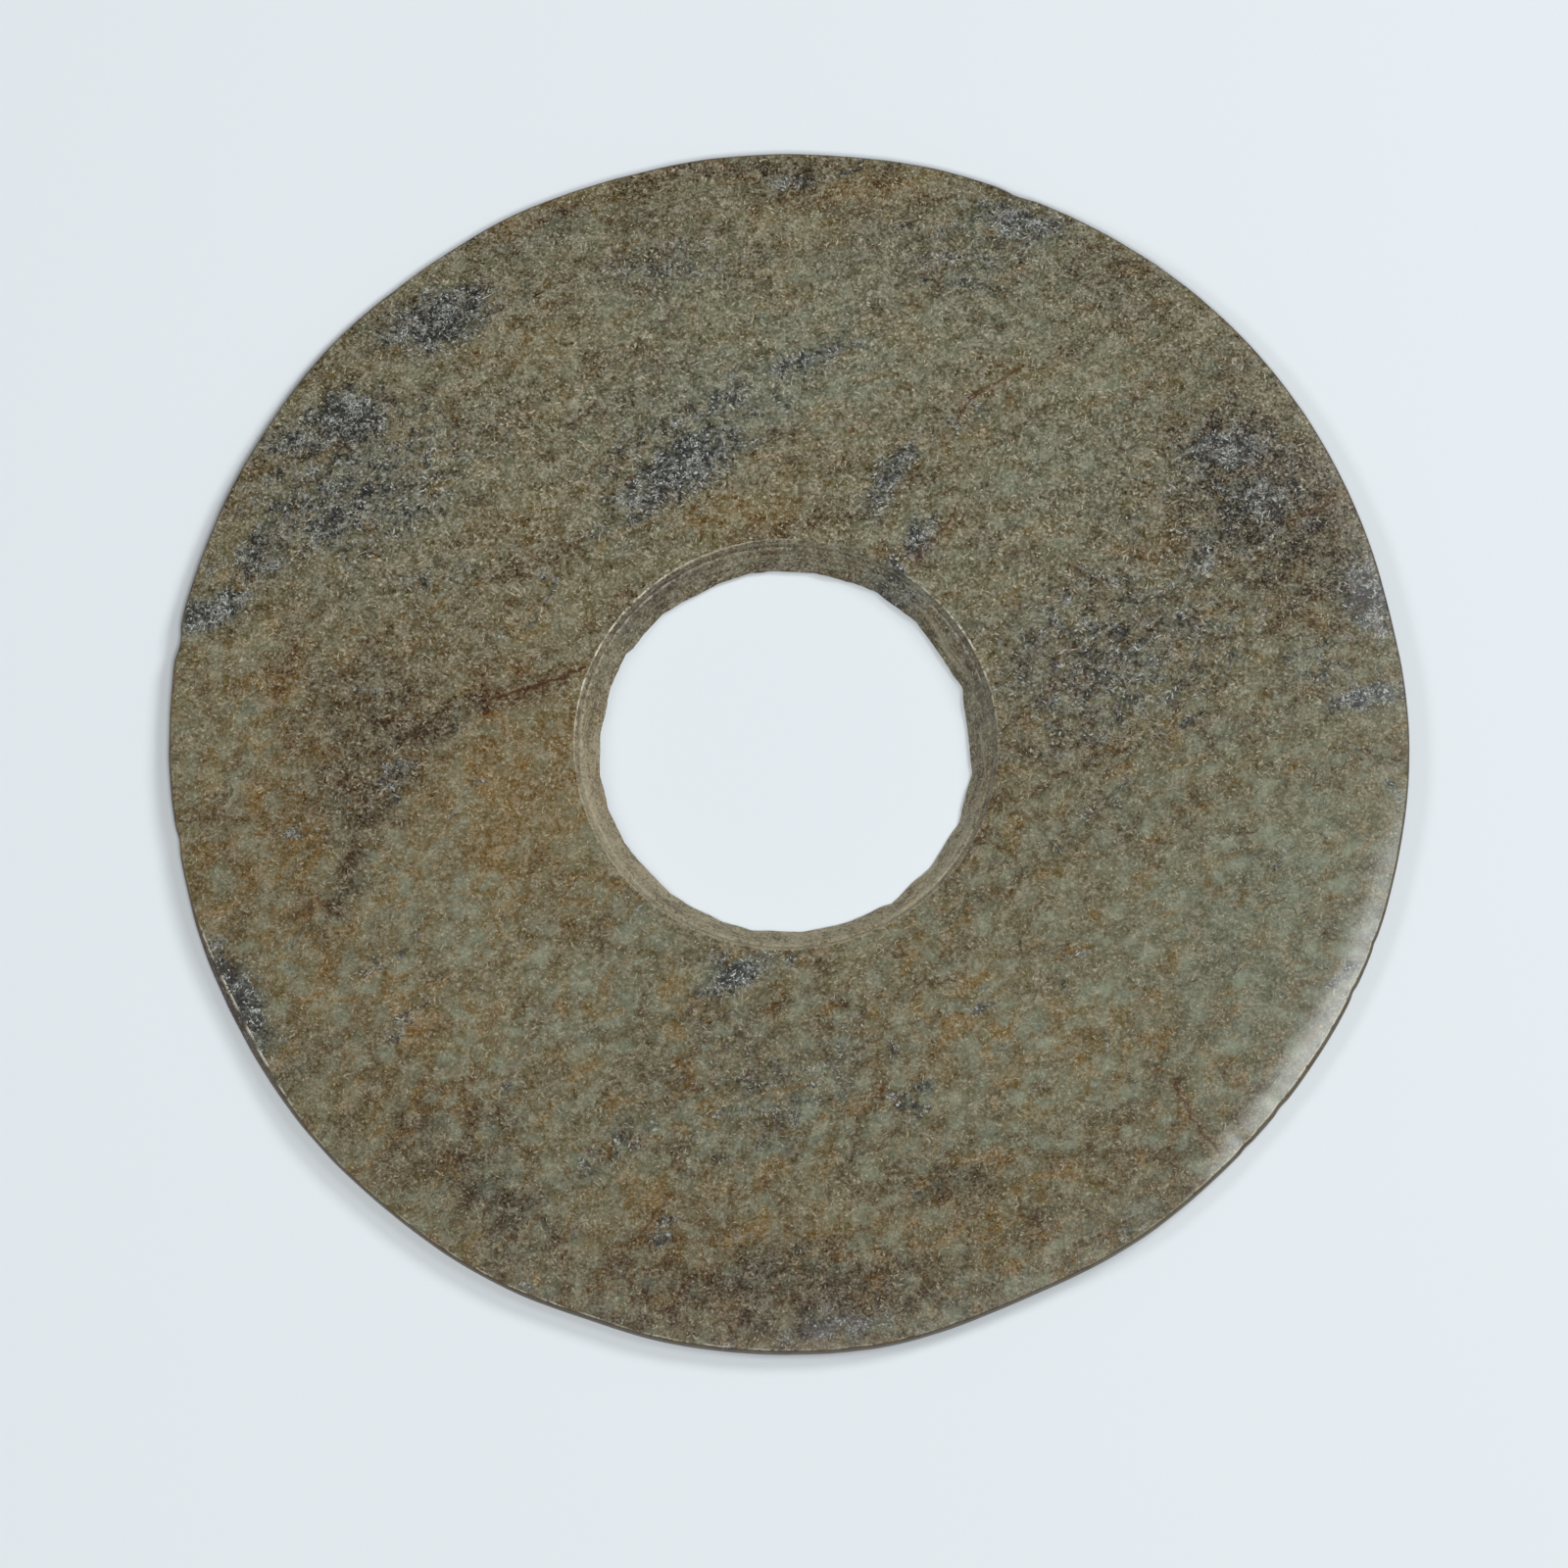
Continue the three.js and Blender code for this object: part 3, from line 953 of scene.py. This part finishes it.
def fine_threads(body):
    """Hairlines of rust that show in some places only."""
    bench = body.bench
    fine_lines = use_group(bench, "hairlines", {
        "Place": body.along_grain, "Size": 4.0, "Stretch": 2.2, "Width": 0.022,
        "Seed": 1.0})["Line"]
    shown = body.cloud(7.0, 1.5, 6.0, 0.5, 0.66)
    return bench.math("MULTIPLY", bench.math("MULTIPLY", fine_lines, shown), 0.7)


def add_grain(body, colour, strength):
    """The fine light and dark of the grain, its needles and its fibres. It is calmer in the
    pale cells and towards the south."""
    bench = body.bench
    northern = bench.span(body.northward, 50.0, -30.0, 1.05, 0.7)
    sugar = bench.math("MULTIPLY", strength, northern)
    calm = bench.math("MULTIPLY", bench.math("MULTIPLY", body.cells["Cell"], body.clear), -0.5)
    sugar = bench.math("MULTIPLY", sugar, bench.math("ADD", calm, 1.0))
    rise = bench.math("SUBTRACT", body.grain["Grain"], 0.49)
    rise = bench.math("MAXIMUM", bench.math("MULTIPLY", rise, 0.56), rise)
    lift = bench.math("MULTIPLY", rise, sugar)
    colour = bench.scaled(colour, 0.85)
    colour = bench.vector("ADD", colour, bench.scaled(GRAIN_TINT, lift))
    colour = bench.vector("MAXIMUM", colour, DARKEST)
    bright = bench.math("MULTIPLY", body.grain["Bright"], sugar)
    colour = bench.stain(colour, bright, 0.72, NEEDLE)
    fibres = bench.math("MULTIPLY", body.grain["Felt"], strength)
    return bench.stain(colour, fibres, 0.24, NEEDLE)


def group_nephrite():
    """The mottled body of the stone, the same in the plate, the bore and the rim."""
    bench, given, gives = new_group(
        "nephrite",
        {"Grain Strength": ("value", 1.0)},
        {"Colour": "colour", "Graphite": "value", "Grain": "value", "Painted Highlight": "value"})
    body = StoneBody(bench)
    grain = body.grain
    colour = add_umber(body, ground_colours(body))

    patch = graphite_patch(body)
    colour = bench.stain(colour, patch, 0.76, BLUE_GREY)
    flecked = bench.math("MULTIPLY", patch, bench.span(grain["Dark"], 0.46, 0.58))
    colour = bench.stain(colour, flecked, 0.8, BLACK_FLECK)
    line, halo = rust_veins(body)
    colour = bench.stain(colour, halo, 0.3, HONEY)
    colour = add_grain(body, colour, given["Grain Strength"])
    rusty = bench.math("MAXIMUM", fine_threads(body), bench.math("MULTIPLY", line, 0.9))
    colour = bench.blend(rusty, colour, RUST)
    silvery = bench.math("MAXIMUM", grain["Felt"], bench.math("MULTIPLY", grain["Bright"], 1.5))
    colour = bench.stain(colour, bench.math("MULTIPLY", patch, silvery), 0.72, SILVER)

    # Painted highlight along the arrises, broken up by the grain
    uneven = bench.span(grain["Dark"], 0.3, 0.5)
    bench.feed(gives["Colour"], colour)
    bench.feed(gives["Graphite"], patch)
    bench.feed(gives["Grain"], grain["Grain"])
    bench.feed(gives["Painted Highlight"], bench.math("MULTIPLY", bench.attribute("painted_highlight"), uneven))


def group_drill_rings_and_painted_light():
    """Fine rings that the drill left round the bore, by height and distance from its axis, and
    the side of the bore that takes painted light."""
    bench, given, gives = new_group(
        "drill_rings_and_painted_light", {"Spacing": ("value", 0.45)}, {"Streak": "value", "Painted Lit Side": "value"})
    place = bench.scaled(bench.node("ShaderNodeTexCoord").outputs["Object"], 1 / MM)
    flat = bench.vector("MULTIPLY", place, (1.0, 1.0, 0.0))
    reach = bench.node("ShaderNodeVectorMath", {0: flat}, operation="LENGTH").outputs[1]
    parts = bench.node("ShaderNodeSeparateXYZ", {0: place}).outputs
    steep = bench.math("SUBTRACT", bench.math("MULTIPLY", reach, 0.7), parts[2])
    slow = bench.node("ShaderNodeSeparateXYZ", {0: bench.scaled(place, 0.03)}).outputs
    turn_height = bench.math("DIVIDE", steep, given["Spacing"])
    laid = bench.node("ShaderNodeCombineXYZ", {
        0: slow[0], 1: slow[1], 2: turn_height}).outputs[0]
    bench.feed(gives["Streak"], bench.noise(laid, 1.0, detail=3.0, roughness=0.65))
    # The lit side of the bore, for its painted light and shade
    bench.feed(gives["Painted Lit Side"], bench.span(bench.dot(flat, PAINTED_LIT_SIDE), -22.0, 26.0))


def bore_rings_and_painted_light(bench, stone, colour, drilled, strength):
    """The bore's wall: painted shade in dull olive on one side, painted light paler on the other,
    with light and dark drill rings.
    """
    # Painted shade: dull olive on the side of the bore away from the lit side
    colour = bench.blend(bench.span(drilled["Painted Lit Side"], 0.0, 0.6, 0.22, 0.0), colour, BORE_OLIVE)
    # Painted light: paler colour on the lit side, broken up by the grain
    patchy = bench.span(stone["Grain"], 0.42, 0.58, 0.2, 0.75)
    colour = bench.stain(colour, drilled["Painted Lit Side"], patchy, WALL_PAINTED_LIGHT)
    colour = bench.blend(bench.span(drilled["Streak"], 0.5, 0.75, 0.0, strength), colour, NEEDLE)
    return bench.blend(bench.span(drilled["Streak"], 0.48, 0.3, 0.0, strength), colour, DARK_UMBER)


def stone_material(name, roughness, relief, grain_strength=1.0, tint=None, tint_share=0.0,
                   streaks=0.0):
    material = bpy.data.materials.new(name)
    material.use_nodes = True
    tree = material.node_tree
    tree.nodes.clear()
    bench = Bench(tree)
    stone = use_group(bench, "nephrite", {"Grain Strength": grain_strength})
    colour = stone["Colour"]
    height = stone["Grain"]
    rough = bench.math("MULTIPLY_ADD", stone["Graphite"], 0.14, roughness)
    rough = bench.math("MULTIPLY_ADD", stone["Grain"], 0.1, rough)
    if tint_share:
        colour = bench.blend(tint_share, colour, tint)
    if streaks:
        drilled = use_group(bench, "drill_rings_and_painted_light", {"Spacing": DRILL_RING_SPACING})
        colour = bore_rings_and_painted_light(bench, stone, colour, drilled, streaks)
        height = bench.math("ADD", height, drilled["Streak"])
    # Painted highlight laid over the arrises of the rim and the mouth
    colour = bench.blend(stone["Painted Highlight"], colour, HIGHLIGHT_COLOUR)
    normal = bench.node("ShaderNodeBump", {
        "Strength": relief, "Distance": RELIEF_DEPTH * MM, "Height": height}).outputs[0]
    shader = bench.node("ShaderNodeBsdfPrincipled", {
        "Base Color": colour, "Roughness": rough, "Normal": normal, "IOR": NEPHRITE_IOR})
    output = bench.node("ShaderNodeOutputMaterial")
    tree.links.new(shader.outputs[0], output.inputs[0])
    return material


def dress(disc):
    """The three finishes of the stone, in the order of FACE, WALL and EDGE."""
    disc.data.materials.append(stone_material("polished_nephrite", roughness=0.16, relief=0.12))
    disc.data.materials.append(stone_material(
        "drilled_nephrite", roughness=0.6, relief=0.15, grain_strength=1.5, tint=BORE_OLIVE,
        tint_share=0.1, streaks=0.34))
    disc.data.materials.append(stone_material(
        "ground_rim_nephrite", roughness=0.45, relief=0.2, grain_strength=0.7, tint=RIM_BROWN,
        tint_share=0.6))


# Stage, light and camera

FLOOR_WIDTH = 6.0
FLOOR_COLOUR = (0.744, 0.793, 0.823, 1.0)
SURROUND_COLOUR = (0.97, 0.98, 1.0, 1.0)
SURROUND_STRENGTH = 0.13
WINDOW_COLOUR = (0.93, 1.0, 1.05)


def plain_floor():
    bpy.ops.mesh.primitive_plane_add(size=FLOOR_WIDTH, location=(0, 0, 0))
    floor = bpy.context.object
    floor.name = "floor"
    material = bpy.data.materials.new("pale_floor")
    material.use_nodes = True
    shader = material.node_tree.nodes["Principled BSDF"]
    shader.inputs["Base Color"].default_value = FLOOR_COLOUR
    shader.inputs["Roughness"].default_value = 0.9
    shader.inputs["Specular IOR Level"].default_value = 0.1
    floor.data.materials.append(material)


def soft_light(name, azimuth, elevation, distance, size, power, colour=(1.0, 1.0, 1.0)):
    """A round soft box that faces the disc. Azimuth and elevation are in degrees, from +X and
    from the floor."""
    data = bpy.data.lights.new(name, "AREA")
    data.shape = "DISK"
    data.size = size
    data.energy = power
    data.color = colour
    light = bpy.data.objects.new(name, data)
    turn, rise = math.radians(azimuth), math.radians(elevation)
    level = math.cos(rise)
    place = Vector((math.cos(turn) * level, math.sin(turn) * level, math.sin(rise)))
    light.location = place * distance
    light.rotation_euler = place.to_track_quat("Z", "Y").to_euler()
    bpy.context.scene.collection.objects.link(light)


def studio_light():
    soft_light("key", azimuth=34, elevation=46, distance=1.7, size=0.6, power=10.6)
    soft_light("overhead", azimuth=280, elevation=68, distance=3.0, size=0.7, power=39.5)
    soft_light("right_window", azimuth=-2.5, elevation=60.7, distance=2.2, size=0.6, power=6.7,
               colour=WINDOW_COLOUR)
    soft_light("left_fill", azimuth=182, elevation=45, distance=2.2, size=0.7, power=9.0)
    world = bpy.data.worlds.new("studio")
    world.use_nodes = True
    surround = world.node_tree.nodes["Background"]
    surround.inputs["Color"].default_value = SURROUND_COLOUR
    surround.inputs["Strength"].default_value = SURROUND_STRENGTH
    bpy.context.scene.world = world
    bpy.context.scene.view_settings.view_transform = "Standard"


# The photograph looks down steeply with a long lens
VIEW_ELEVATION = 75.5
VIEW_DISTANCE = 2.43
PHOTO_PIXELS = 1600
PIXELS_PER_MM = 6.315
DISC_CENTRE_PIXEL = (805.3, 764.1)
RIM_MIDDLE_HEIGHT = 2.4
SENSOR_WIDTH = 36.0


def aim_camera():
    rise = math.radians(VIEW_ELEVATION)
    back = Vector((0, -math.cos(rise), math.sin(rise)))
    up = Vector((0, math.sin(rise), math.cos(rise)))
    middle = PHOTO_PIXELS / 2
    aside = (middle - DISC_CENTRE_PIXEL[0]) / PIXELS_PER_MM * MM
    above = (DISC_CENTRE_PIXEL[1] - middle) / PIXELS_PER_MM * MM
    aim = Vector((aside, 0, RIM_MIDDLE_HEIGHT * MM)) + up * above
    data = bpy.data.cameras.new("camera")
    data.sensor_width = SENSOR_WIDTH
    data.lens = SENSOR_WIDTH * VIEW_DISTANCE / (PHOTO_PIXELS / PIXELS_PER_MM * MM)
    data.clip_start = 0.1
    data.clip_end = 20.0
    camera = bpy.data.objects.new("camera", data)
    camera.location = aim + back * VIEW_DISTANCE
    camera.rotation_euler = back.to_track_quat("Z", "Y").to_euler()
    bpy.context.scene.collection.objects.link(camera)
    bpy.context.scene.camera = camera


def main():
    aim_camera()
    disc = make_disc()
    lay_out_colours(disc)
    group_drifting_cloud()
    group_ragged_patch()
    group_vein_stretch()
    group_pale_cells()
    group_hairlines()
    group_stone_grain()
    group_nephrite()
    group_drill_rings_and_painted_light()
    dress(disc)
    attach(disc, "root")
    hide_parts("jade_disc")
    plain_floor()
    studio_light()


main()
